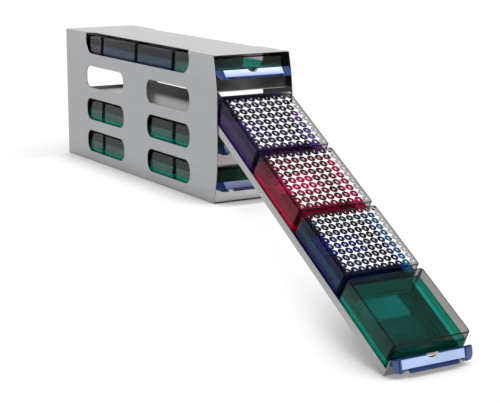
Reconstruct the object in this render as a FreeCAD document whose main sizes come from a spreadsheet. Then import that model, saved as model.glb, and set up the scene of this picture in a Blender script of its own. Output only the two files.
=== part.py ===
import FreeCAD, Part
import math
import os
import Sketcher

# Upright freezer rack: a folded steel housing with four pull-out trays, each holding four storage boxes.
# Frame: origin at the middle of the housing's base, +X to the right, -Y out of the front, +Z up.
# Tray 2 is drawn out and hangs over the front edge of its shelf.

# Driving dimensions in millimetres, and the tray's tilt and the boxes' draft in degrees.
DRIVING = {
    # storage boxes
    "box_side": 133.6,
    "box_height": 50.8,
    "box_corner": 7.0,
    "box_draft": 4.0,
    "base_height": 22.5,
    "base_wall": 1.8,
    "base_floor": 2.0,
    "neck_height": 12.0,
    "neck_gap": 0.3,
    "lid_wall": 1.6,
    "lid_edge": 2.4,
    # room that a tray leaves around its boxes
    "box_gap": 2.6,
    "box_side_gap": 0.7,
    "box_front_gap": 4.3,
    "box_rear_gap": 1.5,
    # trays
    "tray_sheet": 1.0,
    "tray_fold": 2.0,
    "side_lip": 14.0,
    "front_lip": 31.0,
    "rear_wall_over_box": 0.2,
    "rear_corner": 6.0,
    "floor_hole_setback": 24.0,
    "floor_hole_side_margin": 27.8,
    "floor_hole_rear_margin": 1.0,
    "floor_hole_corner": 2.0,
    "tray_tilt": 31.0,
    "tray_seat": 16.7,
    # housing, and the room that it leaves around the trays
    "wall": 1.2,
    "wall_fold": 2.4,
    "tray_side_gap": 0.55,
    "headroom": 6.0,
    "top_headroom": 4.0,
    "rear_setback": 7.5,
    "bow": 12.5,
    "bow_flat": 60.0,
    # shelves and their rear stops
    "shelf_sheet": 1.2,
    "shelf_fold": 2.2,
    "stop_lip": 5.0,
    "stop_clearance": 0.3,
    # studs that catch a drawn-out tray
    "stud_radius": 1.5,
    "stud_stand": 1.35,
    "stud_clearance": 0.2,
    # hand slots and the long top window, through both sides
    "opening_front_margin": 77.5,
    "opening_rear_margin": 87.5,
    "slot_gap": 90.0,
    "slot_over_lip": 2.75,
    "slot_under_shelf": 1.75,
    "slot_end_flat": 7.5,
    "window_over_lip": 5.7,
    "window_on_roof": 11.0,
    "window_end_flat": 0.5,
    # label holder
    "holder_inset": 0.5,
    "holder_rise": 2.0,
    "holder_brow": 3.0,
    "holder_reach": 12.5,
    "holder_drop": 13.5,
    "holder_sole": 3.0,
    "holder_back": 2.2,
    "holder_corner": 8.0,
    "grip_length": 83.0,
    "grip_reach": 2.5,
    "grip_height": 3.4,
    "grip_recess": 8.5,
    "grip_recess_rise": 3.5,
    "post_inset": 11.5,
    "post_width": 1.8,
    "post_stand": 1.0,
    "notch_radius": 11.5,
    "notch_depth": 5.2,
    # paper label
    "label_post_gap": 2.1,
    "label_grip_gap": 0.2,
    "label_inset": 0.4,
    "label_sheet": 0.4,
}
LEVELS = 4
BOXES_PER_TRAY = 4
OPEN_TRAY = 2


class Size:
    """A length that carries its number and the sheet expression that it comes from."""

    def __init__(self, number, text):
        self.number = float(number)
        self.text = text

    def __add__(self, other):
        other = as_size(other)
        return Size(self.number + other.number, f"({self.text} + {other.text})")

    def __sub__(self, other):
        other = as_size(other)
        return Size(self.number - other.number, f"({self.text} - {other.text})")

    def __mul__(self, other):
        other = as_size(other)
        return Size(self.number * other.number, f"({self.text} * {other.text})")

    def __truediv__(self, other):
        other = as_size(other)
        return Size(self.number / other.number, f"({self.text} / {other.text})")

    def __neg__(self):
        return Size(-self.number, f"(0 - {self.text})")


def as_size(value):
    if isinstance(value, Size):
        return value
    return Size(value, f"({float(value)!r})")


def tangent(angle):
    return Size(math.tan(math.radians(angle.number)), f"tan({angle.text} * 1 deg)")


def sine(angle):
    return Size(math.sin(math.radians(angle.number)), f"sin({angle.text} * 1 deg)")


def cosine(angle):
    return Size(math.cos(math.radians(angle.number)), f"cos({angle.text} * 1 deg)")


ZERO = as_size(0)
X_AXIS = FreeCAD.Vector(1, 0, 0)
Z_AXIS = FreeCAD.Vector(0, 0, 1)


def follow(s):
    """The sizes that follow from the driving ones, in the order in which they build on each other."""
    yield "rear_wall", s["tray_sheet"] + s["box_height"] + s["rear_wall_over_box"]
    yield "box_pitch", s["box_side"] + s["box_gap"]
    yield "tray_width", s["box_side"] + (s["box_side_gap"] + s["tray_sheet"]) * 2
    row = s["box_side"] + s["box_pitch"] * (BOXES_PER_TRAY - 1)
    yield "tray_length", row + s["box_front_gap"] + s["box_rear_gap"] + s["tray_sheet"] * 2
    yield "rearmost_box", s["tray_length"] - s["tray_sheet"] - s["box_rear_gap"] - s["box_side"] / 2
    yield "floor_hole_width", s["box_side"] - s["floor_hole_side_margin"] * 2
    yield "floor_hole_length", s["box_side"] / 2 - s["floor_hole_setback"] - s["floor_hole_rear_margin"]
    yield "width", s["tray_width"] + (s["tray_side_gap"] + s["wall"]) * 2
    yield "depth", s["tray_length"] + s["stop_clearance"] + s["shelf_sheet"] + s["rear_setback"]
    yield "level_pitch", s["shelf_sheet"] + s["rear_wall"] + s["headroom"]
    yield "height", s["level_pitch"] * (LEVELS - 1) + s["rear_wall"] + s["top_headroom"] + s["wall"] * 2
    yield "slot_length", (s["depth"] - s["opening_front_margin"] - s["opening_rear_margin"] - s["slot_gap"]) / 2
    yield "slot_foot", s["side_lip"] + s["slot_over_lip"]
    yield "slot_height", s["level_pitch"] - s["shelf_sheet"] - s["slot_under_shelf"] - s["slot_foot"]
    top_floor = s["wall"] + s["level_pitch"] * (LEVELS - 1)
    yield "window_on_side", s["height"] - top_floor - s["side_lip"] - s["window_over_lip"]
    yield "holder_length", s["tray_width"] - s["holder_inset"] * 2
    yield "holder_top", s["front_lip"] + s["holder_rise"]
    yield "post_spacing", s["holder_length"] - s["post_inset"] * 2
    yield "label_length", s["post_spacing"] - s["post_width"] - s["label_post_gap"] * 2
    yield "label_drop", s["holder_drop"] - s["grip_height"] - s["label_inset"] - s["label_grip_gap"]


def make_sheet(doc):
    """Write the driving sizes into the sheet as numbers and the others as formulas, and return them by name."""
    sheet = doc.addObject("Spreadsheet::Sheet", "Sizes")
    s = {}

    def enter(name, content, number):
        row = len(s) + 1
        sheet.set(f"A{row}", name)
        sheet.set(f"B{row}", content)
        sheet.setAlias(f"B{row}", name)
        s[name] = Size(number, f"Sizes.{name}")

    for name, number in DRIVING.items():
        enter(name, str(number), number)
    for name, size in follow(s):
        enter(name, "=" + size.text.replace("Sizes.", ""), size.number)
    doc.recompute()
    return s


def make_body(doc, label):
    body = doc.addObject("PartDesign::Body", label)
    body.Label = label
    return body


def origin_feature(body, role):
    return [feature for feature in body.Origin.OriginFeatures if feature.Role == role][0]


def make_sketch(body, role, name, offset=ZERO):
    """A sketch on one of the body's own planes, moved along that plane's normal by offset."""
    sketch = body.newObject("Sketcher::SketchObject", name)
    sketch.AttachmentSupport = [(origin_feature(body, role), "")]
    sketch.MapMode = "FlatFace"
    sketch.AttachmentOffset = FreeCAD.Placement(FreeCAD.Vector(0, 0, offset.number), FreeCAD.Rotation())
    sketch.setExpression("AttachmentOffset.Base.z", offset.text)
    return sketch


def fix_distance(sketch, kind, geometry, point, size):
    """Hold a point at a signed distance from the sketch's origin."""
    if size is ZERO:
        axis = -2 if kind == "DistanceX" else -1
        sketch.addConstraint(Sketcher.Constraint("PointOnObject", geometry, point, axis))
        return
    index = sketch.addConstraint(Sketcher.Constraint(kind, -1, 1, geometry, point, size.number))
    sketch.setExpression(f"Constraints[{index}]", f"{size.text} * 1 mm")


def fix_radius(sketch, geometry, size):
    index = sketch.addConstraint(Sketcher.Constraint("Radius", geometry, size.number))
    sketch.setExpression(f"Constraints[{index}]", f"{size.text} * 1 mm")


def draw_polygon(sketch, corners):
    """A closed outline of straight lines, each corner held at its own distances."""
    first = sketch.GeometryCount
    count = len(corners)
    for index in range(count):
        start, end = corners[index], corners[(index + 1) % count]
        sketch.addGeometry(Part.LineSegment(
            FreeCAD.Vector(start[0].number, start[1].number, 0),
            FreeCAD.Vector(end[0].number, end[1].number, 0)), False)
    for index in range(count):
        follower = first + (index + 1) % count
        sketch.addConstraint(Sketcher.Constraint("Coincident", first + index, 2, follower, 1))
    for index, (across, along) in enumerate(corners):
        fix_distance(sketch, "DistanceX", first + index, 1, across)
        fix_distance(sketch, "DistanceY", first + index, 1, along)


def draw_rounded(sketch, left, right, low, high, radius):
    """A rectangle with four equal round corners."""
    first = sketch.GeometryCount
    x0, x1, y0, y1, r = left.number, right.number, low.number, high.number, radius.number
    sides = [((x0 + r, y0), (x1 - r, y0)), ((x1, y0 + r), (x1, y1 - r)),
             ((x1 - r, y1), (x0 + r, y1)), ((x0, y1 - r), (x0, y0 + r))]
    centres = [(x1 - r, y0 + r), (x1 - r, y1 - r), (x0 + r, y1 - r), (x0 + r, y0 + r)]
    for quarter, (side, centre) in enumerate(zip(sides, centres)):
        sketch.addGeometry(Part.LineSegment(FreeCAD.Vector(*side[0], 0), FreeCAD.Vector(*side[1], 0)), False)
        circle = Part.Circle(FreeCAD.Vector(*centre, 0), Z_AXIS, r)
        start = math.radians(90 * quarter - 90)
        sketch.addGeometry(Part.ArcOfCircle(circle, start, start + math.pi / 2), False)
    for quarter in range(4):
        line, arc = first + 2 * quarter, first + 2 * quarter + 1
        following = first + (2 * quarter + 2) % 8
        sketch.addConstraint(Sketcher.Constraint("Tangent", line, 2, arc, 1))
        sketch.addConstraint(Sketcher.Constraint("Tangent", arc, 2, following, 1))
        sketch.addConstraint(Sketcher.Constraint("Vertical" if quarter % 2 else "Horizontal", line))
        if quarter:
            sketch.addConstraint(Sketcher.Constraint("Equal", first + 1, arc))
    fix_radius(sketch, first + 1, radius)
    fix_distance(sketch, "DistanceY", first, 1, low)
    fix_distance(sketch, "DistanceX", first + 2, 1, right)
    fix_distance(sketch, "DistanceY", first + 4, 1, high)
    fix_distance(sketch, "DistanceX", first + 6, 1, left)


def add_feature(body, kind, name, sketch, length=None, midplane=False, reverse=False, draft=None):
    """A pad or pocket of one sketch; with no length it goes through everything, with a draft it narrows."""
    feature = body.newObject(kind, name)
    feature.Profile = sketch
    if length is None:
        feature.Type = "ThroughAll"
    else:
        feature.Length = length.number
        feature.setExpression("Length", length.text)
    if draft is not None:
        feature.TaperAngle = -draft.number
        feature.setExpression("TaperAngle", f"-{draft.text} * 1 deg")
    feature.Midplane = midplane
    feature.Reversed = reverse
    return feature


def add_fillet(body, name, base, radius, chosen):
    """Round the edges of base for which chosen(edge) is true."""
    body.Document.recompute()
    names = [f"Edge{number}" for number, edge in enumerate(base.Shape.Edges, start=1) if chosen(edge)]
    if not names:
        raise RuntimeError(f"{body.Label}: no edge found for {name}")
    fillet = body.newObject("PartDesign::Fillet", name)
    fillet.Base = (base, names)
    fillet.Radius = radius.number
    fillet.setExpression("Radius", radius.text)
    return fillet


def near(value, size, slack=0.01):
    return abs(value - size.number) < slack


def flat_at(edge, axis, size):
    """True for an edge that lies in the plane where this axis has this value."""
    return all(near(getattr(vertex.Point, axis), size) for vertex in edge.Vertexes)


def runs_along(edge, axis):
    """True for a straight edge along one axis."""
    box = edge.BoundBox
    spans = {"x": box.XLength, "y": box.YLength, "z": box.ZLength}
    return spans[axis] > 0.05 and all(span < 0.01 for name, span in spans.items() if name != axis)


def housing_wrap(doc, s):
    """The housing's roof, sides and base: one sheet folded into a tube, seam-welded along the base."""
    body = make_body(doc, "housing_wrap")
    half_width, half_depth = s["width"] / 2, s["depth"] / 2

    section = make_sketch(body, "XZ_Plane", "wrap_section", half_depth + s["bow"])
    draw_rounded(section, -half_width, half_width, ZERO, s["height"], s["wall_fold"])
    draw_rounded(section, -(half_width - s["wall"]), half_width - s["wall"], s["wall"],
                 s["height"] - s["wall"], s["wall_fold"] - s["wall"])
    tube = add_feature(body, "PartDesign::Pad", "wrap_tube", section, s["depth"] + s["bow"], reverse=True)

    front_cut = make_sketch(body, "YZ_Plane", "front_curve")
    draw_front_curve(front_cut, s)
    add_feature(body, "PartDesign::Pocket", "front_trim", front_cut, midplane=True)

    front_end = s["opening_front_margin"] - half_depth
    back_end = half_depth - s["opening_rear_margin"]
    slots = make_sketch(body, "YZ_Plane", "slot_pair")
    foot = s["wall"] + s["slot_foot"]
    for start, end in ((front_end, front_end + s["slot_length"]), (back_end - s["slot_length"], back_end)):
        draw_rounded(slots, start, end, foot, foot + s["slot_height"], (s["slot_height"] - s["slot_end_flat"]) / 2)
    slot_cut = add_feature(body, "PartDesign::Pocket", "slot_cut", slots, midplane=True)
    rows = body.newObject("PartDesign::LinearPattern", "slot_rows")
    rows.Originals = [slot_cut]
    rows.Direction = (origin_feature(body, "Z_Axis"), [""])
    rows.Occurrences = LEVELS - 1
    rows.Length = s["level_pitch"].number * (LEVELS - 2)
    rows.setExpression("Length", (s["level_pitch"] * (LEVELS - 2)).text)
    body.Tip = rows

    # The window is one round-ended slot in the flat sheet, so the fold leaves part of it in the roof.
    corner = (s["window_on_side"] + s["window_on_roof"] - s["window_end_flat"]) / 2
    side_window = make_sketch(body, "YZ_Plane", "side_window", -half_width)
    draw_rounded(side_window, front_end, back_end, s["height"] - s["window_on_side"],
                 s["height"] + s["window_on_roof"], corner)
    side_cut = add_feature(body, "PartDesign::Pocket", "side_window_cut", side_window,
                           s["wall_fold"] * 2, midplane=True)
    roof_window = make_sketch(body, "XY_Plane", "roof_window", s["height"])
    draw_rounded(roof_window, -(half_width + s["window_on_side"]), -(half_width - s["window_on_roof"]),
                 front_end, back_end, corner)
    roof_cut = add_feature(body, "PartDesign::Pocket", "roof_window_cut", roof_window,
                           s["wall_fold"] * 2, midplane=True)
    mirrored = body.newObject("PartDesign::Mirrored", "window_pair")
    mirrored.Originals = [side_cut, roof_cut]
    mirrored.MirrorPlane = (origin_feature(body, "YZ_Plane"), [""])
    body.Tip = mirrored
    return body


def draw_front_curve(sketch, s):
    """What is trimmed off in front: the sides bow forward in two arcs with a straight stretch between."""
    front = -(s["depth"] / 2)
    crest = front - s["bow"]
    clear = s["bow"] * 2
    low_turn = s["height"] / 2 - s["bow_flat"] / 2
    high_turn = s["height"] / 2 + s["bow_flat"] / 2
    radius = (low_turn * low_turn + s["bow"] * s["bow"]) / (s["bow"] * 2)
    swing = math.atan2(low_turn.number, radius.number - s["bow"].number)
    centre_x = crest.number + radius.number

    def arc(centre_z, start, end):
        circle = Part.Circle(FreeCAD.Vector(centre_x, centre_z, 0), Z_AXIS, radius.number)
        return sketch.addGeometry(Part.ArcOfCircle(circle, start, end), False)

    def line(start, end):
        return sketch.addGeometry(Part.LineSegment(
            FreeCAD.Vector(start[0].number, start[1].number, 0),
            FreeCAD.Vector(end[0].number, end[1].number, 0)), False)

    low_arc = arc(low_turn.number, math.pi, math.pi + swing)
    straight = line((crest, low_turn), (crest, high_turn))
    high_arc = arc(high_turn.number, math.pi - swing, math.pi)
    frame = [(front, s["height"]), (front, s["height"] + clear), (crest - clear, s["height"] + clear),
             (crest - clear, -clear), (front, -clear), (front, ZERO)]
    sides = [line(frame[index], frame[index + 1]) for index in range(len(frame) - 1)]

    sketch.addConstraint(Sketcher.Constraint("Tangent", low_arc, 1, straight, 1))
    sketch.addConstraint(Sketcher.Constraint("Tangent", straight, 2, high_arc, 2))
    sketch.addConstraint(Sketcher.Constraint("Coincident", high_arc, 1, sides[0], 1))
    for index in range(len(sides) - 1):
        sketch.addConstraint(Sketcher.Constraint("Coincident", sides[index], 2, sides[index + 1], 1))
    sketch.addConstraint(Sketcher.Constraint("Coincident", sides[-1], 2, low_arc, 2))
    fix_distance(sketch, "DistanceX", straight, 1, crest)
    fix_distance(sketch, "DistanceY", straight, 1, low_turn)
    fix_distance(sketch, "DistanceX", straight, 2, crest)
    fix_distance(sketch, "DistanceY", straight, 2, high_turn)
    for side, corner in zip(sides, frame):
        fix_distance(sketch, "DistanceX", side, 1, corner[0])
        fix_distance(sketch, "DistanceY", side, 1, corner[1])
    fix_distance(sketch, "DistanceX", sides[-1], 2, frame[-1][0])
    fix_distance(sketch, "DistanceY", sides[-1], 2, frame[-1][1])


def stop_front(s):
    """Where the rear stops face the trays."""
    return s["tray_length"] - s["depth"] / 2 + s["stop_clearance"]


def shelf_form(doc, s):
    """A shelf as folded: a flat sheet whose rear edge turns up as the tray's stop. Its top is at z = 0."""
    body = make_body(doc, "shelf_form")
    front, stop, sheet = -(s["depth"] / 2), stop_front(s), s["shelf_sheet"]
    section = make_sketch(body, "YZ_Plane", "shelf_section")
    draw_polygon(section, [
        (front, -sheet), (stop + sheet, -sheet), (stop + sheet, s["stop_lip"]),
        (stop, s["stop_lip"]), (stop, ZERO), (front, ZERO)])
    plate = add_feature(body, "PartDesign::Pad", "shelf_plate", section, s["width"] - s["wall"] * 2,
                        midplane=True)
    outer = add_fillet(body, "outer_fold", plate, s["shelf_fold"],
                       lambda edge: flat_at(edge, "y", stop + sheet) and flat_at(edge, "z", -sheet))
    add_fillet(body, "inner_fold", outer, s["shelf_fold"] - sheet,
               lambda edge: flat_at(edge, "y", stop) and flat_at(edge, "z", ZERO)
               and runs_along(edge, "x"))
    return body


def base_stop(doc, s):
    """The angle welded to the base that stops the lowest tray."""
    body = make_body(doc, "base_stop")
    stop, rear, sheet, floor = stop_front(s), s["depth"] / 2, s["shelf_sheet"], s["wall"]
    section = make_sketch(body, "YZ_Plane", "angle_section")
    draw_polygon(section, [
        (stop, floor), (rear, floor), (rear, floor + sheet), (stop + sheet, floor + sheet),
        (stop + sheet, floor + s["stop_lip"]), (stop, floor + s["stop_lip"])])
    angle = add_feature(body, "PartDesign::Pad", "angle_plate", section, s["width"] - s["wall_fold"] * 2,
                        midplane=True)
    add_fillet(body, "inner_fold", angle, s["shelf_fold"] - sheet,
               lambda edge: flat_at(edge, "y", stop + sheet) and flat_at(edge, "z", floor + sheet)
               and runs_along(edge, "x"))
    return body


def tray_form(doc, s):
    """A tray as folded: low sides, a taller front lip and a full rear wall, with a hole under each box's rear half.

    Front face y = 0, underside z = 0.
    """
    body = make_body(doc, "tray_form")
    half, sheet, length = s["tray_width"] / 2, s["tray_sheet"], s["tray_length"]
    above = s["rear_wall"] * 2

    outline = make_sketch(body, "XY_Plane", "tray_outline")
    draw_polygon(outline, [(-half, ZERO), (half, ZERO), (half, length), (-half, length)])
    block = add_feature(body, "PartDesign::Pad", "tray_block", outline, s["rear_wall"])

    inside = make_sketch(body, "XY_Plane", "tray_inside", sheet)
    draw_polygon(inside, [(-(half - sheet), sheet), (half - sheet, sheet),
                          (half - sheet, length - sheet), (-(half - sheet), length - sheet)])
    hollow = add_feature(body, "PartDesign::Pocket", "tray_hollow", inside, reverse=True)

    profile = make_sketch(body, "YZ_Plane", "wall_heights")
    draw_polygon(profile, [
        (-sheet, s["front_lip"]), (sheet, s["front_lip"]), (sheet, s["side_lip"]),
        (length - sheet, s["side_lip"]), (length - sheet, above), (-sheet, above)])
    walls = add_feature(body, "PartDesign::Pocket", "wall_trim", profile, midplane=True)

    outer = add_fillet(body, "outer_folds", walls, s["tray_fold"],
                       lambda edge: flat_at(edge, "z", ZERO))
    inner = add_fillet(body, "inner_folds", outer, s["tray_fold"] - sheet,
                       lambda edge: flat_at(edge, "z", sheet) and
                       (near(abs(edge.CenterOfMass.x), half - sheet)
                        or near(edge.CenterOfMass.y, sheet)
                        or near(edge.CenterOfMass.y, length - sheet)))
    add_fillet(body, "rear_corners", inner, s["rear_corner"],
               lambda edge: flat_at(edge, "z", s["rear_wall"]) and runs_along(edge, "y"))

    holes = make_sketch(body, "XY_Plane", "floor_holes")
    side = s["floor_hole_width"] / 2
    for count in range(BOXES_PER_TRAY):
        start = s["rearmost_box"] - s["box_pitch"] * count + s["floor_hole_setback"]
        draw_rounded(holes, -side, side, start, start + s["floor_hole_length"], s["floor_hole_corner"])
    add_feature(body, "PartDesign::Pocket", "floor_hole_cut", holes, sheet, reverse=True)
    return body


def draw_outside_corner(sketch, end, low, radius, side):
    """What lies outside a rounded lower corner: side is 1 for a right-hand corner and -1 for a left-hand one."""
    first = sketch.GeometryCount
    inner, outer, high = end - radius * side, end + radius * side, low + radius
    circle = Part.Circle(FreeCAD.Vector(inner.number, high.number, 0), Z_AXIS, radius.number)
    turns = (-math.pi / 2, 0) if side > 0 else (math.pi, math.pi * 3 / 2)
    sketch.addGeometry(Part.ArcOfCircle(circle, *turns), False)
    corners = [(end, high), (outer, high), (outer, low - radius), (inner, low - radius), (inner, low)]
    for start, stop in zip(corners, corners[1:]):
        sketch.addGeometry(Part.LineSegment(FreeCAD.Vector(start[0].number, start[1].number, 0),
                                            FreeCAD.Vector(stop[0].number, stop[1].number, 0)), False)
    at_end, at_foot = (2, 1) if side > 0 else (1, 2)
    sketch.addConstraint(Sketcher.Constraint("Coincident", first, at_end, first + 1, 1))
    sketch.addConstraint(Sketcher.Constraint("Coincident", first, at_foot, first + 4, 2))
    for index in range(1, 4):
        sketch.addConstraint(Sketcher.Constraint("Coincident", first + index, 2, first + index + 1, 1))
    for index, (across, up) in enumerate(corners[:-1], start=1):
        fix_distance(sketch, "DistanceX", first + index, 1, across)
        fix_distance(sketch, "DistanceY", first + index, 1, up)
    fix_distance(sketch, "DistanceX", first + 4, 2, inner)
    fix_distance(sketch, "DistanceY", first + 4, 2, low)
    fix_radius(sketch, first, radius)


def square_sketch(body, name, side, corner, level):
    sketch = make_sketch(body, "XY_Plane", name, level)
    half = side / 2
    draw_rounded(sketch, -half, half, -half, half, corner)
    return sketch


def box_base_form(doc, s):
    """A box's coloured base: a drafted tub with a neck that enters the lid. Underside z = 0."""
    body = make_body(doc, "box_base_form")
    rim, draft = s["base_height"], s["box_draft"]
    step = square_sketch(body, "step", s["box_side"], s["box_corner"], rim)
    tub = add_feature(body, "PartDesign::Pad", "tub", step, rim, reverse=True, draft=draft)
    foot = add_fillet(body, "foot_round", tub, s["base_floor"] / 2, lambda edge: flat_at(edge, "z", ZERO))
    inset = s["lid_wall"] + s["neck_gap"]
    neck_side = s["box_side"] - inset * 2
    neck_foot = square_sketch(body, "neck_foot", neck_side, s["box_corner"] - inset, rim)
    add_feature(body, "PartDesign::Pad", "neck", neck_foot, s["neck_height"], draft=draft)
    narrowing = s["neck_height"] * tangent(draft) + s["base_wall"]
    top = rim + s["neck_height"]
    mouth = square_sketch(body, "mouth", neck_side - narrowing * 2, s["box_corner"] - inset - narrowing, top)
    hollow = add_feature(body, "PartDesign::Pocket", "base_hollow", mouth, top - s["base_floor"])
    add_fillet(body, "floor_round", hollow, s["base_floor"], lambda edge: flat_at(edge, "z", s["base_floor"]))
    return body


def box_lid_form(doc, s):
    """A box's clear lid: a drafted cap with rounded edges. Its rim is at z = base_height."""
    body = make_body(doc, "box_lid_form")
    rim, top, wall, draft = s["base_height"], s["box_height"], s["lid_wall"], s["box_draft"]
    outside = square_sketch(body, "outside", s["box_side"], s["box_corner"], rim)
    cap = add_feature(body, "PartDesign::Pad", "cap", outside, top - rim, draft=draft)
    add_fillet(body, "crown_round", cap, s["lid_edge"], lambda edge: flat_at(edge, "z", top))
    inside = square_sketch(body, "inside", s["box_side"] - wall * 2, s["box_corner"] - wall, rim)
    hollow = add_feature(body, "PartDesign::Pocket", "lid_hollow", inside, top - wall - rim,
                         reverse=True, draft=draft)
    add_fillet(body, "ceiling_round", hollow, s["lid_edge"] - wall, lambda edge: flat_at(edge, "z", top - wall))
    return body


def face_point(s, drop, proud=ZERO):
    """A point of the holder's sloping face, drop below its top edge, or proud of it, measured level."""
    slope = s["holder_reach"] / s["holder_drop"]
    out = s["holder_brow"] + slope * drop
    return -(out + proud), s["holder_top"] - drop + proud * slope


def cut_notch(body, s):
    """The thumb notch in the middle of the top edge."""
    sketch = make_sketch(body, "XZ_Plane", "notch_circle")
    circle = Part.Circle(FreeCAD.Vector(0, s["holder_top"].number, 0), Z_AXIS, s["notch_radius"].number)
    sketch.addGeometry(circle, False)
    sketch.addConstraint(Sketcher.Constraint("PointOnObject", 0, 3, -2))
    fix_distance(sketch, "DistanceY", 0, 3, s["holder_top"] + s["notch_radius"] - s["notch_depth"])
    fix_radius(sketch, 0, s["notch_radius"])
    return add_feature(body, "PartDesign::Pocket", "thumb_notch", sketch, midplane=True)


def label_holder_form(doc, s):
    """The plastic label holder that is also the tray's pull. Tray face y = 0, tray underside z = 0."""
    body = make_body(doc, "label_holder_form")
    brow, top, back = s["holder_brow"], s["holder_top"], s["holder_back"]
    sole_front = brow + s["holder_reach"]
    sole_back = sole_front - s["holder_sole"]
    low = top - s["holder_drop"]
    under_brow = low + (sole_back - back) * (s["holder_drop"] / s["holder_reach"])

    section = make_sketch(body, "YZ_Plane", "holder_section")
    draw_polygon(section, [
        (ZERO, top), (-brow, top), (-sole_front, low), (-sole_back, low), (-back, under_brow),
        (-back, low), (ZERO, low)])
    add_feature(body, "PartDesign::Pad", "holder_plate", section, s["holder_length"], midplane=True)
    corners = make_sketch(body, "XZ_Plane", "end_corners")
    for side in (-1, 1):
        draw_outside_corner(corners, s["holder_length"] / 2 * side, low, s["holder_corner"], side)
    add_feature(body, "PartDesign::Pocket", "end_trim", corners, midplane=True)

    posts = make_sketch(body, "XZ_Plane", "post_feet")
    for side in (-1, 1):
        middle = s["post_spacing"] / 2 * side
        draw_polygon(posts, [
            (middle - s["post_width"] / 2, low), (middle + s["post_width"] / 2, low),
            (middle + s["post_width"] / 2, top), (middle - s["post_width"] / 2, top)])
    add_feature(body, "PartDesign::Pad", "post_bars", posts, sole_front + s["post_stand"])
    over_face = make_sketch(body, "YZ_Plane", "over_face")
    high_point, low_point = face_point(s, ZERO, s["post_stand"]), face_point(s, s["holder_drop"], s["post_stand"])
    beyond = low_point[0] - s["holder_drop"]
    draw_polygon(over_face, [
        high_point, low_point, (beyond, low_point[1]), (beyond, top * 2), (high_point[0], top * 2)])
    add_feature(body, "PartDesign::Pocket", "post_trim", over_face, midplane=True)

    grip = make_sketch(body, "YZ_Plane", "grip_section")
    grip_front = sole_front + s["grip_reach"]
    draw_polygon(grip, [
        (-grip_front, low), (-sole_back, low), (-sole_back, low + s["grip_height"]),
        (-grip_front, low + s["grip_height"])])
    add_feature(body, "PartDesign::Pad", "grip", grip, s["grip_length"], midplane=True)
    recesses = make_sketch(body, "XZ_Plane", "grip_recesses")
    for side in (-1, 1):
        inner = s["grip_length"] / 2 * side
        outer = inner + s["grip_recess"] * side
        draw_polygon(recesses, [(inner, ZERO), (outer, ZERO), (outer, low + s["grip_recess_rise"]),
                                (inner, low + s["grip_recess_rise"])])
    add_feature(body, "PartDesign::Pocket", "grip_recess_trim", recesses, midplane=True)
    cut_notch(body, s)
    return body


def paper_label_form(doc, s):
    """The paper label on the holder's sloping face, notched like the holder."""
    body = make_body(doc, "paper_label_form")
    section = make_sketch(body, "YZ_Plane", "label_section")
    start, end, sheet = s["label_inset"], s["label_inset"] + s["label_drop"], s["label_sheet"]
    draw_polygon(section, [face_point(s, start), face_point(s, start, sheet),
                           face_point(s, end, sheet), face_point(s, end)])
    add_feature(body, "PartDesign::Pad", "label_sheet", section, s["label_length"], midplane=True)
    cut_notch(body, s)
    return body


def level_floor(s, level):
    """The height of the surface that a level's tray slides on; level 1 is the top one."""
    return s["wall"] + s["level_pitch"] * (LEVELS - level)


def tray_point(s, tray, along, up):
    """The y and z in the rack of a point in a tray: along from its front face, up from its underside.

    The open tray turns about the front edge of its shelf, which it crosses tray_seat before its rear end.
    """
    front, floor = -(s["depth"] / 2), level_floor(s, tray)
    if tray != OPEN_TRAY:
        return front + along, floor + up
    tilt = s["tray_tilt"]
    behind = along - (s["tray_length"] - s["tray_seat"])
    return (front + behind * cosine(tilt) - up * sine(tilt),
            floor + behind * sine(tilt) + up * cosine(tilt))


def place(node, y, z, tilt=ZERO):
    """Put a node in the rack, turned about the X direction by tilt."""
    turn = FreeCAD.Rotation(X_AXIS, tilt.number)
    node.Placement = FreeCAD.Placement(FreeCAD.Vector(0, y.number, z.number), turn)
    node.setExpression(".Placement.Base.y", f"{y.text} * 1 mm")
    node.setExpression(".Placement.Base.z", f"{z.text} * 1 mm")
    if tilt is not ZERO:
        node.setExpression(".Placement.Rotation.Angle", f"{tilt.text} * 1 deg")


def add_copy(doc, form, label, y, z, tilt=ZERO):
    """A node that is one copy of a form."""
    node = doc.addObject("App::Link", label)
    node.LinkedObject = form
    node.Label = label
    place(node, y, z, tilt)
    return node


def stop_studs(doc, s):
    """Studs inside both walls near the front: a drawn-out tray's rear wall stops behind them, and
    its side lips rest up against them when it hangs."""
    tilt = s["tray_tilt"]
    ahead = s["tray_seat"] - s["tray_sheet"] - s["stud_radius"] - s["stud_clearance"]
    up = s["side_lip"] + s["stud_radius"] + s["stud_clearance"]
    y = -(s["depth"] / 2) + ahead * cosine(tilt) - up * sine(tilt)
    rise = ahead * sine(tilt) + up * cosine(tilt)
    inner = s["width"] / 2 - s["wall"]
    studs = []
    for level in range(1, LEVELS + 1):
        for side in (-1, 1):
            stud = doc.addObject("Part::Cylinder", f"stud_{level}_{'left' if side < 0 else 'right'}")
            stud.setExpression("Radius", s["stud_radius"].text)
            stud.setExpression("Height", s["stud_stand"].text)
            start = -inner if side < 0 else inner - s["stud_stand"]
            z = level_floor(s, level) + rise
            stud.Placement = FreeCAD.Placement(FreeCAD.Vector(start.number, y.number, z.number),
                                               FreeCAD.Rotation(Z_AXIS, X_AXIS))
            for axis, size in zip("xyz", (start, y, z)):
                stud.setExpression(f".Placement.Base.{axis}", f"{size.text} * 1 mm")
            studs.append(stud)
    group = doc.addObject("Part::Compound", "stop_studs")
    group.Label = "stop_studs"
    group.Links = studs
    return group


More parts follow.
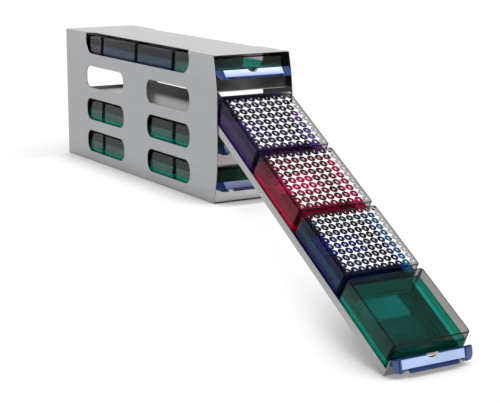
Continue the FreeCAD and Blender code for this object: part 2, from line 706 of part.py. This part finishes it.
def build(doc):
    """Make every node of the rack, in the order in which it would be put together."""
    s = make_sheet(doc)
    nodes = [housing_wrap(doc, s), base_stop(doc, s), stop_studs(doc, s)]

    shelf = shelf_form(doc, s)
    for level in range(1, LEVELS):
        nodes.append(add_copy(doc, shelf, f"shelf_{level}", ZERO, level_floor(s, level)))

    forms = {name: make(doc, s) for name, make in (
        ("tray", tray_form), ("label_holder", label_holder_form), ("paper_label", paper_label_form))}
    box_forms = {"base": box_base_form(doc, s), "lid": box_lid_form(doc, s)}
    for tray in range(1, LEVELS + 1):
        tilt = s["tray_tilt"] if tray == OPEN_TRAY else ZERO
        for name, form in forms.items():
            y, z = tray_point(s, tray, ZERO, ZERO)
            nodes.append(add_copy(doc, form, f"{name}_{tray}", y, z, tilt))
        for place_in_tray in range(1, BOXES_PER_TRAY + 1):
            along = s["rearmost_box"] - s["box_pitch"] * (BOXES_PER_TRAY - place_in_tray)
            y, z = tray_point(s, tray, along, s["tray_sheet"])
            for name, form in box_forms.items():
                nodes.append(add_copy(doc, form, f"box_{name}_{tray}_{place_in_tray}", y, z, tilt))
    doc.recompute()
    return nodes


def check(doc, nodes):
    """Stop before anything is written if an object failed or a node's shape is not sound."""
    for thing in doc.Objects:
        if "Invalid" in thing.State or "Error" in thing.State:
            raise RuntimeError(f"{thing.Label} failed: {thing.State}")
    for node in nodes:
        if node.Shape.isNull() or not node.Shape.isValid() or not node.Shape.Solids:
            raise RuntimeError(f"{node.Label} has no valid shape")


def export(nodes):
    os.makedirs("parts", exist_ok=True)
    for node in nodes:
        node.Shape.exportStep(f"parts/{node.Label}.step")


def main():
    doc = FreeCAD.newDocument("freezer_rack")
    nodes = build(doc)
    check(doc, nodes)
    export(nodes)
    print(f"{len(nodes)} nodes written")


main()
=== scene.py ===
import math

import bpy
import numpy as np
from mathutils import Matrix, Vector


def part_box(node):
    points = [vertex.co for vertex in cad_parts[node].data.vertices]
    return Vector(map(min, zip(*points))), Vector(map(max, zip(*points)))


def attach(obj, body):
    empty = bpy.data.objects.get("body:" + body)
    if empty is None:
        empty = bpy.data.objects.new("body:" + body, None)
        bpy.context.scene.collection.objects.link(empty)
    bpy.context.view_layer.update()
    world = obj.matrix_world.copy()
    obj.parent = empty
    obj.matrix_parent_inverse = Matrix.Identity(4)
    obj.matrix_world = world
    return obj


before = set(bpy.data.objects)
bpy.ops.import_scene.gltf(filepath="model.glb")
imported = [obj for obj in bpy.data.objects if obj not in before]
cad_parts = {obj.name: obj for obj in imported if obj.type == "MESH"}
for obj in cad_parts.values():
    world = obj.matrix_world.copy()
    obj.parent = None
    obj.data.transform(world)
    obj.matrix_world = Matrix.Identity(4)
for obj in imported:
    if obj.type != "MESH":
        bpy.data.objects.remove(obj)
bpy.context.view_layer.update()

# Lengths are in metres, in the rack's own frame: +X right, -Y out of the front, +Z up.
MM = 0.001
DEPTH, WIDTH, HEIGHT = 559 * MM, 140.5 * MM, 236 * MM
LEVEL_PITCH, SHEET = 59.2 * MM, 1.2 * MM
TILT = math.radians(31)
HINGE = np.array([0.0, -DEPTH / 2, SHEET + 2 * LEVEL_PITCH])
TRAY_LENGTH, TRAY_SEAT, TRAY_SHEET = 550 * MM, 16.7 * MM, 1 * MM
BOX_SIDE, BOX_TOP, BOX_PITCH, BOX_REAR_GAP = 133.6 * MM, 50.8 * MM, 136.2 * MM, 1.5 * MM
REARMOST = TRAY_LENGTH - TRAY_SHEET - BOX_REAR_GAP - BOX_SIDE / 2
OPEN_TRAY, LEVELS, BOXES = 2, 4, 4
# Heights above a tray's underside: where a box base's neck starts, and the middle of the holder's
# thumb notch with its radius.
NECK, NOTCH_CENTRE, NOTCH_RADIUS = 23.5 * MM, 39.3 * MM, 11.5 * MM
# How a level tray's and the hanging tray's coordinates are turned level, and the height that they
# are counted from.
HANGING_BASE = float(HINGE[2] * math.cos(TILT) - HINGE[1] * math.sin(TILT))
LEVELLED = {False: {"Tilt": 0.0, "Base": SHEET}, True: {"Tilt": -TILT, "Base": HANGING_BASE}}

# Box colours by (tray from the top, place from the front).
COLOURS = {(tray, place): "green" for tray in range(1, 5) for place in range(1, 5)}
COLOURS.update({(1, 2): "blue", (1, 3): "blue", (1, 4): "purple",
                (2, 2): "blue", (2, 3): "red", (2, 4): "purple"})

# Circles along each side of a printed lid, by (tray, place).
PRINTS = {(1, 2): 10, (1, 3): 10, (1, 4): 9, (2, 2): 10, (2, 3): 9, (2, 4): 9}
# From the first circle's middle to the last one's, and how far the print lies over the lid.
PRINT_SPAN, PRINT_PROUD = 114.5 * MM, 0.06 * MM
# A circle's radius and a figure's height as shares of the circles' pitch, and how figures narrow.
CIRCLE_SHARE, FIGURE_SHARE, FIGURE_NARROWING = 0.488, 0.42, 0.62
ARC_STEPS = 6

# Each colour in the tub's walls, in its floor, and in the thin neck that enters the lid. The
# darker floors of the green, blue and red boxes are painted shade.
PLASTICS = {
    "green": ((0.004, 0.74, 0.58), (0.003, 0.28, 0.26), (0.01, 0.72, 0.56)),
    "blue": ((0.018, 0.035, 0.30), (0.004, 0.010, 0.20), (0.01, 0.36, 0.70)),
    "red": ((0.95, 0.02, 0.16), (0.84, 0.002, 0.14), (0.90, 0.01, 0.16)),
    "purple": ((0.15, 0.03, 0.40), (0.15, 0.03, 0.40), (0.30, 0.14, 0.52)),
}
# Printed and plain lids: the top's colour and the gloss, with the sides' colour by whether the
# tray hangs. The sides are darker than the tops, and darker still on the hanging tray: painted
# shade.
LID_TOP, LID_GLOSS, LID_SHADED_SIDES = (0.88, 0.87, 0.86), 0.5, (0.78, 0.77, 0.75)
PLAIN_TOP, PLAIN_GLOSS = (0.86, 0.85, 0.82), 0.8
PLAIN_SHADED_SIDES = {False: (0.78, 0.77, 0.75), True: (0.62, 0.60, 0.56)}
# Label card and tray steel tones by whether the tray hangs; the hanging tray's darker tones are
# painted shade.
CARD_TONES_WITH_PAINTED_SHADE = {False: (0.55, 0.63, 0.92), True: (0.32, 0.41, 0.62)}
TRAY_TONES_WITH_PAINTED_SHADE = {False: 0.80, True: 0.62}

# The ground: half its side, where it starts to fall, how far it goes on falling past the hanging
# tray's lowest edge, and how it eases out.
GROUND_REACH, GROUND_CREST, GROUND_FOOT, GROUND_EASE, GROUND_POINTS = 6.0, -0.31, 0.01, 2.2, 61

# The photograph's view, from a fit to the housing's and lids' corners.
VIEW_AZIMUTH, VIEW_ELEVATION = math.radians(-30.95), math.radians(11.82)
VIEW_FROM, VIEW_LENS, VIEW_SENSOR = (-1.1746, -2.2337, 0.4737), 103.99, 36.0


class Tree:
    """Short calls for building one node tree."""

    def __init__(self, tree):
        self.tree = tree

    def add(self, kind, inputs=None, **settings):
        node = self.tree.nodes.new("ShaderNode" + kind)
        for name, value in settings.items():
            setattr(node, name, value)
        self.feed_all(node.inputs, inputs or {})
        return node

    def feed(self, socket, value):
        if isinstance(value, bpy.types.NodeSocket):
            self.tree.links.new(value, socket)
        else:
            socket.default_value = value

    def feed_all(self, sockets, values):
        for key, value in values.items():
            self.feed(sockets[key], value)

    def math(self, operation, *values):
        return self.add("Math", dict(enumerate(values)), operation=operation).outputs[0]

    def mix(self, factor, first, second, blend="MIX"):
        node = self.add("Mix", {0: factor, 6: first, 7: second}, data_type="RGBA", blend_type=blend)
        return node.outputs[2]

    def remap(self, value, low, high, to_low=0.0, to_high=1.0, kind="SMOOTHSTEP"):
        inputs = {0: value, 1: low, 2: high, 3: to_low, 4: to_high}
        return self.add("MapRange", inputs, interpolation_type=kind).outputs[0]

    def noise(self, vector, scale, detail=2.0, rough=0.5):
        inputs = {"Vector": vector, "Scale": scale, "Detail": detail, "Roughness": rough}
        return self.add("TexNoise", inputs).outputs[0]

    def split(self, vector):
        return self.add("SeparateXYZ", {0: vector}).outputs

    def group(self, tree, inputs):
        node = self.tree.nodes.new("ShaderNodeGroup")
        node.node_tree = tree
        self.feed_all(node.inputs, inputs)
        return node.outputs


def rgba(red, green, blue):
    return (red, green, blue, 1.0)


BLACK, WHITE = rgba(0, 0, 0), rgba(1, 1, 1)


def new_material(name):
    material = bpy.data.materials.new(name)
    material.use_nodes = True
    material.node_tree.nodes.clear()
    return material, Tree(material.node_tree)


def close(tree, shader):
    tree.add("OutputMaterial", {"Surface": shader})


def close_principled(tree, inputs):
    close(tree, tree.add("BsdfPrincipled", inputs).outputs[0])


def new_group(name, inputs, outputs):
    """An empty node group with float or vector sockets, and its input and output sockets."""
    group = bpy.data.node_groups.new(name, "ShaderNodeTree")
    for side, sockets in (("INPUT", inputs), ("OUTPUT", outputs)):
        for label, kind in sockets.items():
            group.interface.new_socket(label, in_out=side, socket_type="NodeSocket" + kind)
    source = group.nodes.new("NodeGroupInput")
    sink = group.nodes.new("NodeGroupOutput")
    return group, Tree(group), source.outputs, sink.inputs


def make_object_frame():
    """Object coordinates turned level, and the height above the underside of that level's tray.

    Flat is 1 on floors and tops. Crease is 1 on the rounded edges between faces that lie square
    to the tray.
    """
    group, t, given, out = new_group(
        "level_coordinates", {"Tilt": "Float", "Base": "Float"},
        {"Vector": "Vector", "Height": "Float", "Across": "Float", "Along": "Float",
         "Flat": "Float", "Crease": "Float"})
    own = t.add("TexCoord").outputs
    turned, facing = (
        t.add("VectorRotate", {"Vector": own[kind], "Angle": given["Tilt"]},
              rotation_type="X_AXIS").outputs[0]
        for kind in ("Object", "Normal"))
    facing = t.split(facing)
    across, along, up = (t.math("ABSOLUTE", facing[axis]) for axis in "XYZ")
    square = t.math("MAXIMUM", t.math("MAXIMUM", across, along), up)
    spot = t.split(turned)
    above = t.math("FLOORED_MODULO", t.math("SUBTRACT", spot["Z"], given["Base"]), LEVEL_PITCH)
    t.feed_all(out, {
        "Vector": turned, "Height": above, "Across": spot["X"], "Along": spot["Y"],
        "Flat": t.remap(up, 0.6, 0.9), "Crease": t.remap(square, 0.985, 0.93)})
    return group


def make_brushing():
    """Long fine scratches along Y with faint clouds over them, as values and a bumped normal."""
    group, t, given, out = new_group(
        "brushing", {"Vector": "Vector"}, {"Streak": "Float", "Cloud": "Float", "Normal": "Vector"})
    place = given["Vector"]
    fine = t.add("Mapping", {"Vector": place, "Scale": (2400, 14, 2400)}).outputs[0]
    broad = t.add("Mapping", {"Vector": place, "Scale": (420, 5, 420)}).outputs[0]
    streak = t.math("MULTIPLY_ADD", t.noise(fine, 1, 3, 0.6), 0.65,
                    t.math("MULTIPLY", t.noise(broad, 1, 2), 0.35))
    bump = t.add("Bump", {"Strength": 0.3, "Distance": 0.0002, "Height": streak}).outputs[0]
    t.feed_all(out, {"Streak": streak, "Cloud": t.noise(place, 9, 3, 0.55), "Normal": bump})
    return group


def make_handling():
    """What a moulded box shows: soft smudges, and a slightly rippled surface."""
    group, t, given, out = new_group(
        "handling", {"Vector": "Vector"}, {"Smudge": "Float", "Normal": "Vector"})
    smudge = t.remap(t.noise(given["Vector"], 26, 4, 0.6), 0.45, 0.75)
    ripple = t.noise(given["Vector"], 34, 1, 0.4)
    bump = t.add("Bump", {"Strength": 0.06, "Distance": 0.0006, "Height": ripple}).outputs[0]
    t.feed_all(out, {"Smudge": smudge, "Normal": bump})
    return group


LEVEL = make_object_frame()
BRUSHING = make_brushing()
HANDLING = make_handling()


def start_moulding(name, hanging):
    """A new material with the tray's level coordinates and the wear of a moulded piece."""
    material, t = new_material(name)
    level = t.group(LEVEL, LEVELLED[hanging])
    return material, t, level, t.group(HANDLING, {"Vector": level["Vector"]})


def steel(name, tone, rough, hanging=False, warm=0.0, shaded_inside=None, painted_reflection_lip=None):
    """Brushed stainless sheet. tone is its mean reflectance; the tone for the inner faces darkens
    them as painted shade, and the tone for the front face paints it dark as a painted reflection
    of the dark boxes below it."""
    material, t = new_material(name)
    level = t.group(LEVEL, LEVELLED[hanging])
    place = level["Vector"]
    grain = t.group(BRUSHING, {"Vector": place})
    streaks = t.remap(grain["Streak"], 0.3, 0.7, kind="LINEAR")
    colour = t.mix(streaks, rgba(0.92, 0.92, 0.92), rgba(1.07, 1.07, 1.07))
    clouds = t.remap(grain["Cloud"], 0.35, 0.7, 0.0, 0.3)
    colour = t.mix(clouds, colour, rgba(0.84, 0.85, 0.87))
    shade = rgba(tone, tone, tone * (1 - warm))
    if shaded_inside is not None:
        # painted shade: a darker tone on the inner faces
        spot = t.split(place)
        half_sheet = 0.6 * MM
        shaded_inner_faces = t.math(
            "MULTIPLY",
            t.math("LESS_THAN", t.math("ABSOLUTE", spot["X"]), WIDTH / 2 - half_sheet),
            t.math("LESS_THAN", spot["Z"], HEIGHT - half_sheet))
        shade = t.mix(shaded_inner_faces, shade, rgba(shaded_inside, shaded_inside, shaded_inside))
    if painted_reflection_lip is not None:
        # painted reflection: the front face gets a dark mottled tone, as if it mirrored the dark
        # boxes below
        forward = t.math("LESS_THAN", level["Along"], 0.1 * MM - DEPTH / 2)
        painted_reflection_tone = t.remap(t.noise(place, 22, 1, 0.4), 0.35, 0.7, 0.6 * painted_reflection_lip, 2.0 * painted_reflection_lip)
        painted_reflection_colour = t.add("CombineColor", {0: painted_reflection_tone, 1: painted_reflection_tone, 2: painted_reflection_tone}).outputs[0]
        shade = t.mix(forward, shade, painted_reflection_colour)
    close_principled(t, {
        "Base Color": t.mix(1.0, colour, shade, blend="MULTIPLY"), "Metallic": 1.0,
        "Roughness": t.math("MULTIPLY_ADD", grain["Streak"], 0.22, rough - 0.11),
        "Normal": grain["Normal"]})
    return material


def clear_plastic(name, hanging, top, shaded_sides, gloss):
    """Thin clear moulding with smudges. Painted shade darkens its sides, its rounded edges and
    where it turns away.
    """
    material, t, level, worn = start_moulding(name, hanging)
    colour = t.mix(level["Flat"], rgba(*shaded_sides), rgba(*top))
    colour = t.mix(t.math("MULTIPLY", worn["Smudge"], 0.1), colour, BLACK)
    painted_edge_shade = t.remap(t.add("LayerWeight", {"Blend": 0.5}).outputs["Facing"], 0.72, 0.92)
    painted_edge_shade = t.math("MAXIMUM", painted_edge_shade, level["Crease"])
    colour = t.mix(t.math("MULTIPLY", painted_edge_shade, 0.88), colour, BLACK)
    close_principled(t, {
        "Base Color": colour, "Transmission Weight": 1.0, "IOR": 1.25,
        "Specular Tint": rgba(gloss, gloss, gloss),
        "Roughness": t.math("MULTIPLY", worn["Smudge"], 0.015), "Normal": worn["Normal"]})
    return material


def coloured_plastic(name, colour, hanging):
    """Tinted clear moulding: the colour deepens with every wall that the light goes through."""
    walls, shaded_floor, thin = (rgba(*shade) for shade in PLASTICS[colour])
    material, t, level, worn = start_moulding(name, hanging)
    neck = t.math("GREATER_THAN", level["Height"], NECK)
    colour = t.mix(level["Flat"], t.mix(neck, walls, thin), shaded_floor)
    colour = t.mix(t.math("MULTIPLY", worn["Smudge"], 0.15), colour, BLACK)
    # painted shade: darker along the rounded edges
    colour = t.mix(t.math("MULTIPLY", level["Crease"], 0.5), colour, BLACK)
    close_principled(t, {
        "Base Color": colour, "Transmission Weight": 0.80, "IOR": 1.2, "Specular Tint": walls,
        "Roughness": t.math("MULTIPLY", worn["Smudge"], 0.02), "Normal": worn["Normal"]})
    return material


def holder_plastic(name, hanging):
    """Deep blue translucent moulding of the label holders. Painted light makes it paler where it
    turns away, on its rounded edges and on the thumb notch's cut edge.
    """
    material, t, level, worn = start_moulding(name, hanging)
    facing = t.add("LayerWeight", {"Blend": 0.45}).outputs["Facing"]
    # painted sheen: paler blue where the surface turns away from view
    colour = t.mix(facing, rgba(0.003, 0.020, 0.065), rgba(0.008, 0.032, 0.18))
    # painted highlight: paler blue on the rounded edges
    colour = t.mix(t.math("MULTIPLY", level["Crease"], 0.25), colour, rgba(0.12, 0.20, 0.5))
    drop = t.math("SUBTRACT", level["Height"], NOTCH_CENTRE)
    from_notch = t.math("SQRT", t.math(
        "ADD", t.math("POWER", drop, 2), t.math("POWER", level["Across"], 2)))
    # painted light: the notch's cut edge is painted pale grey
    painted_light_notch = t.math("LESS_THAN", from_notch, NOTCH_RADIUS + 0.15 * MM)
    close_principled(t, {
        "Base Color": t.mix(painted_light_notch, colour, rgba(0.62, 0.60, 0.62)),
        "Alpha": t.math("MULTIPLY_ADD", facing, 0.2, 0.78),
        "Roughness": t.math("MULTIPLY_ADD", worn["Smudge"], 0.1, 0.12), "IOR": 1.5,
        "Normal": worn["Normal"]})
    return material


def label_card(name, tone, hanging):
    """Coated card; on a level tray its foot is dimmer, where the housing shades it."""
    material, t = new_material(name)
    level = t.group(LEVEL, LEVELLED[hanging])
    fibre = t.noise(level["Vector"], 900, 3, 0.6)
    cloud = t.remap(t.noise(level["Vector"], 18, 2, 0.5), 0.3, 0.7)
    bright = [min(1.0, 1.18 * channel) for channel in tone]
    colour = t.mix(cloud, rgba(*tone), rgba(*bright))
    colour = t.mix(t.math("MULTIPLY", fibre, 0.12), colour, rgba(0.25, 0.3, 0.7))
    if not hanging:
        foot = t.remap(level["Height"], 21 * MM, 31 * MM, 0.75, 0.0)
        colour = t.mix(foot, colour, rgba(0.16, 0.22, 0.62))
    close_principled(t, {
        "Base Color": colour, "Roughness": 0.35, "Coat Weight": 0.4, "Coat Roughness": 0.12})
    return material


def print_white(name):
    """White ink that lets a little light through."""
    material, t = new_material(name)
    ink = t.noise(t.add("TexCoord").outputs["Object"], 700, 2, 0.5)
    colour = t.mix(t.remap(ink, 0.35, 0.7), rgba(0.93, 0.93, 0.94), rgba(0.98, 0.98, 0.98))
    front = t.add("BsdfDiffuse", {"Color": colour}).outputs[0]
    through = t.add("BsdfTranslucent", {"Color": colour}).outputs[0]
    close(t, t.add("MixShader", {0: 0.12, 1: front, 2: through}).outputs[0])
    return material


def floor_white(name):
    """Glowing white ground: a tight painted contact shadow, a fainter painted one trailing behind.

    The fainter one is held back before the rack and beyond its left side. The ground is plain
    pale grey in mirrors, and through clear plastic painted light lifts its shadows to nearly
    plain white.
    """
    material, t = new_material(name)

    def openness(reach, lean):
        """How open the sky is within reach, looking up from the surface with a lean."""
        upright = t.add("NewGeometry").outputs["Normal"]
        toward = t.add("VectorMath", {0: upright, 1: lean}, operation="ADD").outputs[0]
        toward = t.add("VectorMath", {0: toward}, operation="NORMALIZE").outputs[0]
        inputs = {"Distance": reach, "Normal": toward}
        return t.add("AmbientOcclusion", inputs, samples=16).outputs["AO"]

    full = 1.02
    painted_contact_shadow = t.remap(openness(0.10, (0.15, -0.1, 0.0)), 0.20, 0.89, 0.32, full)
    painted_trail_shadow = t.remap(openness(0.26, (0.0, -0.9, 0.0)), 0.40, 0.95, 0.72, full)
    spot = t.split(t.add("TexCoord").outputs["Object"])
    before = t.remap(spot["Y"], 0.38, 0.24, 0, full)
    beside = t.remap(spot["X"], -0.09, -0.22, 0, full)
    painted_trail_shadow = t.math("MAXIMUM", painted_trail_shadow, t.math("MAXIMUM", before, beside))
    shade = t.math("MINIMUM", painted_contact_shadow, painted_trail_shadow)
    seen = t.add("LightPath").outputs
    # painted light: seen through clear plastic, the painted shadows are mostly lifted
    shade = t.math("MAXIMUM", shade, t.math("MULTIPLY", seen["Is Transmission Ray"], 0.85))
    tone = t.mix(seen["Is Glossy Ray"], WHITE, rgba(0.60, 0.61, 0.63))
    close(t, t.add("Emission", {"Color": tone, "Strength": shade}).outputs[0])
    return material


def tray_matrix(tray):
    """The tray's own frame (front face at y = 0, underside at z = 0) in the rack's."""
    if tray != OPEN_TRAY:
        return Matrix.Translation((0, -DEPTH / 2, SHEET + LEVEL_PITCH * (LEVELS - tray)))
    back = Matrix.Translation((0, -(TRAY_LENGTH - TRAY_SEAT), 0))
    return Matrix.Translation(Vector(HINGE)) @ Matrix.Rotation(TILT, 4, "X") @ back


def place_points(points, tray, along, up):
    """Points given about a spot in the tray, as an array in the rack's frame."""
    matrix = np.array(tray_matrix(tray))
    local = np.asarray(points, float) + np.array([0.0, along, up])
    return local @ matrix[:3, :3].T + matrix[:3, 3]


def add_mesh(name, points, faces, material, body):
    mesh = bpy.data.meshes.new(name)
    mesh.from_pydata(np.asarray(points, float).tolist(), [], np.asarray(faces).tolist())
    mesh.update()
    thing = bpy.data.objects.new(name, mesh)
    bpy.context.scene.collection.objects.link(thing)
    mesh.materials.append(material)
    if body:
        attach(thing, body)
    return thing


def star_field(count, pitch, radius):
    """The white field between count by count clear circles, as points and triangles.

    Each cell between four circle centres is the square less four quarter discs, so its outline is
    corner_i * pitch + radius * (cos a, sin a) with a sweeping the quarter turn inside the square,
    and it is filled by a fan from its middle. The cells repeat on a square grid about the origin.
    """
    corners = np.array([(0, 0), (1, 0), (1, 1), (0, 1)]) * pitch
    quarters = np.arange(4)[:, None] * 90
    angles = np.radians(quarters + np.linspace(90, 0, ARC_STEPS)[None, :])
    arcs = corners[:, None, :] + radius * np.stack([np.cos(angles), np.sin(angles)], -1)
    outline = arcs.reshape(-1, 2)
    cell = np.concatenate([[[pitch / 2, pitch / 2]], outline])
    steps_along = (np.arange(count - 1) - (count - 1) / 2) * pitch
    offsets = np.stack(np.meshgrid(steps_along, steps_along, indexing="ij"), -1).reshape(-1, 2)
    flat = (offsets[:, None, :] + cell[None, :, :]).reshape(-1, 2)
    points = np.column_stack([flat, np.zeros(len(flat))])
    around = np.arange(len(outline))
    fan = np.column_stack([np.zeros_like(around), around + 1, (around + 1) % len(outline) + 1])
    faces = (np.arange(len(offsets))[:, None, None] * len(cell) + fan[None]).reshape(-1, 3)
    return points, faces


def flat_figures(count, height):
    """The figures 1 to count as flat triangles about each one's middle."""
    made = []
    for number in range(1, count + 1):
        curve = bpy.data.curves.new("figure", "FONT")
        curve.body, curve.size = str(number), height
        curve.align_x, curve.align_y = "CENTER", "CENTER"
        curve.resolution_u = 1
        curve.offset = height * 0.02
        text = bpy.data.objects.new("figure", curve)
        mesh = bpy.data.meshes.new_from_object(text)
        mesh.calc_loop_triangles()
        points = np.empty(len(mesh.vertices) * 3)
        mesh.vertices.foreach_get("co", points)
        corners = np.empty(len(mesh.loop_triangles) * 3, dtype=np.int64)
        mesh.loop_triangles.foreach_get("vertices", corners)
        points = points.reshape(-1, 3)
        points -= (points.max(0) + points.min(0)) / 2
        made.append((points, corners.reshape(-1, 3)))
        bpy.data.objects.remove(text)
        bpy.data.meshes.remove(mesh)
        bpy.data.curves.remove(curve)
    return made


def add_print(tray, place, material):
    """A lid's print: a white field with clear circles, and a figure in each circle."""
    count = PRINTS[tray, place]
    pitch = PRINT_SPAN / (count - 1)
    points, faces = star_field(count, pitch, pitch * CIRCLE_SHARE)
    point_sets, face_sets, total = [points], [faces], len(points)
    half_row = np.array([1, 1, 0]) * (count - 1) / 2
    for index, (figure, triangles) in enumerate(flat_figures(count * count, pitch * FIGURE_SHARE)):
        row, column = divmod(index, count)
        middle = (np.array([column, count - 1 - row, 0.0]) - half_row) * pitch
        point_sets.append(figure * np.array([FIGURE_NARROWING, 1, 1]) + middle)
        face_sets.append(triangles + total)
        total += len(figure)
    along = REARMOST - BOX_PITCH * (BOXES - place)
    up = TRAY_SHEET + BOX_TOP + PRINT_PROUD
    placed = place_points(np.concatenate(point_sets), tray, along, up)
    piece = add_mesh(f"lid_print_{tray}_{place}", placed, np.concatenate(face_sets), material,
                     f"tray_{tray}_body")


def paint(node, material):
    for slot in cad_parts[node].material_slots:
        slot.material = material


def tray_materials(hanging):
    """The materials of a level tray or of the drawn-out one, by kind; the drawn-out one's darker
    steel, card and plain lid sides are painted shade.
    """
    word = "open" if hanging else "closed"
    kinds = {
        "tray": steel(f"tray_steel_{word}", TRAY_TONES_WITH_PAINTED_SHADE[hanging], 0.30, hanging, warm=0.02),
        "lid": clear_plastic(f"lid_clear_{word}", hanging, LID_TOP, LID_SHADED_SIDES, LID_GLOSS),
        "plain_lid": clear_plastic(
            f"lid_smoke_{word}", hanging, PLAIN_TOP, PLAIN_SHADED_SIDES[hanging], PLAIN_GLOSS),
        "holder": holder_plastic(f"holder_blue_{word}", hanging),
        "card": label_card(f"label_card_{word}", CARD_TONES_WITH_PAINTED_SHADE[hanging], hanging),
    }
    if not hanging:
        # Tray 1's front face carries a painted reflection of the dark boxes below it.
        kinds["upper_tray"] = steel("tray_steel_upper", 0.80, 0.24, warm=0.02, painted_reflection_lip=0.05)
    for colour in PLASTICS:
        kinds[colour] = coloured_plastic(f"box_{colour}_{word}", colour, hanging)
    return kinds


def dress():
    # The housing's inner faces are darkened: painted shade.
    wall = steel("housing_steel", 0.60, 0.36, shaded_inside=0.15)
    shelf = steel("shelf_steel", 0.40, 0.34)
    for node in ("housing_wrap", "base_stop", "stop_studs"):
        paint(node, wall)
    for level in range(1, LEVELS):
        paint(f"shelf_{level}", shelf)
    ink = print_white("lid_ink")
    sets = {hanging: tray_materials(hanging) for hanging in (False, True)}
    for tray in range(1, LEVELS + 1):
        kinds = sets[tray == OPEN_TRAY]
        paint(f"tray_{tray}", kinds["upper_tray" if tray == 1 else "tray"])
        paint(f"label_holder_{tray}", kinds["holder"])
        paint(f"paper_label_{tray}", kinds["card"])
        for place in range(1, BOXES + 1):
            printed = (tray, place) in PRINTS
            paint(f"box_base_{tray}_{place}", kinds[COLOURS[tray, place]])
            paint(f"box_lid_{tray}_{place}", kinds["lid" if printed else "plain_lid"])
            if printed:
                add_print(tray, place, ink)


def add_stage():
    """White ground: level under the housing, then eased down to the hanging tray's lowest point.

    With u from 0 at the crest to 1 at the foot, its height is ground * (1 - (1 - u) ** 2.2).
    """
    low_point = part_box("tray_2")[0]
    reach, crest, ground = GROUND_REACH, GROUND_CREST, low_point[2]
    foot = low_point[1] - GROUND_FOOT
    u = np.linspace(0, 1, GROUND_POINTS)
    along = np.concatenate([[reach], crest + (foot - crest) * u, [-reach]])
    up = np.concatenate([[0.0], ground * (1 - (1 - u) ** GROUND_EASE), [ground]])
    left, right = (np.column_stack([np.full_like(along, side * reach), along, up])
                   for side in (-1, 1))
    count = len(along)
    first = np.arange(count - 1)
    faces = np.column_stack([first + 1, first + 1 + count, first + count, first])
    add_mesh("ground", np.concatenate([left, right]), faces, floor_white("ground_white"), None)


def add_world():
    """A pale studio: plain white behind, dimmer to the left and overhead for metal and gloss."""
    world = bpy.data.worlds.new("studio")
    bpy.context.scene.world = world
    world.use_nodes = True
    world.node_tree.nodes.clear()
    t = Tree(world.node_tree)
    direction = t.split(t.add("TexCoord").outputs["Generated"])
    side = t.remap(direction["X"], -0.9, 0.6)
    tone = t.mix(side, rgba(0.68, 0.70, 0.72), rgba(1.08, 1.08, 1.08))
    seen = t.add("LightPath").outputs
    roof = t.mix(seen["Is Glossy Ray"], rgba(0.5, 0.51, 0.53), rgba(0.26, 0.26, 0.27))
    tone = t.mix(t.remap(direction["Z"], 0.35, 0.75), tone, roof)
    low_sky = t.math("MULTIPLY", t.remap(direction["Z"], 0.5, 0.3), 0.85)
    behind = t.math("MULTIPLY", seen["Is Transmission Ray"], low_sky)
    plain = t.math("MAXIMUM", seen["Is Camera Ray"], behind)
    sky = t.add("Background", {"Color": t.mix(plain, tone, WHITE), "Strength": 1.0})
    t.add("OutputWorld", {"Surface": sky.outputs[0]})


def add_sun(name, direction, strength, angle):
    light = bpy.data.lights.new(name, "SUN")
    light.energy, light.angle = strength, math.radians(angle)
    thing = bpy.data.objects.new(name, light)
    thing.rotation_mode = "QUATERNION"
    thing.rotation_quaternion = Vector(direction).to_track_quat("-Z", "Y")
    bpy.context.scene.collection.objects.link(thing)


def add_camera():
    data = bpy.data.cameras.new("camera")
    data.sensor_width, data.lens = VIEW_SENSOR, VIEW_LENS
    data.clip_start, data.clip_end = 0.05, 50
    camera = bpy.data.objects.new("camera", data)
    camera.location = VIEW_FROM
    level = math.cos(VIEW_ELEVATION)
    back = Vector((math.sin(VIEW_AZIMUTH) * level, -math.cos(VIEW_AZIMUTH) * level,
                   math.sin(VIEW_ELEVATION)))
    camera.rotation_mode = "QUATERNION"
    camera.rotation_quaternion = (-back).to_track_quat("-Z", "Y")
    bpy.context.scene.collection.objects.link(camera)
    bpy.context.scene.camera = camera


def main():
    bpy.context.scene.view_settings.view_transform = "Standard"
    add_camera()
    dress()
    add_stage()
    add_world()
    add_sun("key", (-0.12, 0.50, -0.86), 2.2, 40)


main()
